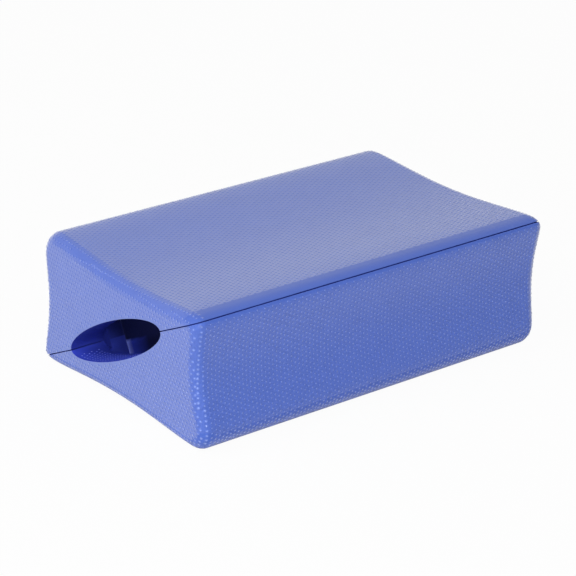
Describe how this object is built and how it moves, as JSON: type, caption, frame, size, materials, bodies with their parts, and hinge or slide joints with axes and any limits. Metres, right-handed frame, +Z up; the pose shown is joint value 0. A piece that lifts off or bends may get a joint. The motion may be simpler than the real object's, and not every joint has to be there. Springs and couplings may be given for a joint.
{
  "type": "yoga block",
  "caption": "Blue moulded foam yoga block in two wedges that close along a corner-to-corner seam, with an oval finger pocket on the seam at each end.",
  "frame": {"origin": "middle of the underside, level with the edges that it rests on", "axes": "+X along the block, +Y to its rear long side, +Z up; the seam falls from the front top edge to the rear bottom edge"},
  "size_m": [0.229, 0.151, 0.076],
  "materials": {
    "foam": "satin"
  },
  "bodies": {
    "root": {"lower_wedge": "foam", "upper_wedge": "foam"}
  },
  "joints": []
}
